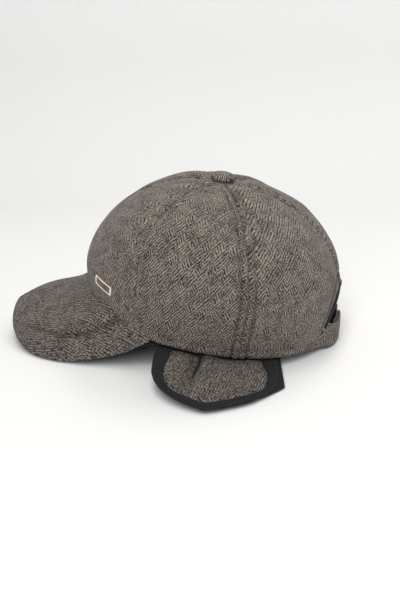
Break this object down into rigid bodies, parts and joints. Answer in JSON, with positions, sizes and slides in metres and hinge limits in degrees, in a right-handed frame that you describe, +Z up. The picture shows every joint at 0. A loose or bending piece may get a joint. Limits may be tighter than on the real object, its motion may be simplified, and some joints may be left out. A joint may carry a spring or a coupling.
{
  "type": "earflap cap",
  "caption": "Soft cap of panelled tweed with a curved peak, fold-down earflaps, an arched back opening closed by a lapped strap, a top button and a small framed badge.",
  "frame": {"origin": "centre of the head opening, level with the lower edge of the crown at the wearer's ears", "axes": "+Z up, -Y towards the peak, +X towards the wearer's left; the cap leans back ten degrees, as it rests on the low sides of its peak and on its back rim"},
  "size_m": [0.2704, 0.2707, 0.1328],
  "materials": {
    "tweed": "grey-brown herringbone wool, matt and slightly hairy",
    "black_cloth": "matt black twill",
    "pale_metal": "pale polished plating",
    "badge_leather": "plain reddish-brown, satin"
  },
  "bodies": {
    "root": {"front_panel_left": "tweed", "front_panel_right": "tweed", "side_panel_left": "tweed", "side_panel_right": "tweed", "back_panel_left": "tweed", "back_panel_right": "tweed", "top_button": "tweed", "peak_cover": "tweed", "peak_underside": "black_cloth", "opening_binding": "black_cloth", "back_strap_left": "tweed", "back_strap_right": "tweed", "inner_band": "black_cloth", "earflap_panel_left": "tweed", "earflap_panel_right": "tweed", "earflap_border_left": "black_cloth", "earflap_border_right": "black_cloth", "earflap_backing_left": "black_cloth", "earflap_backing_right": "black_cloth", "badge_frame": "pale_metal", "badge_inlay": "badge_leather"}
  },
  "joints": []
}
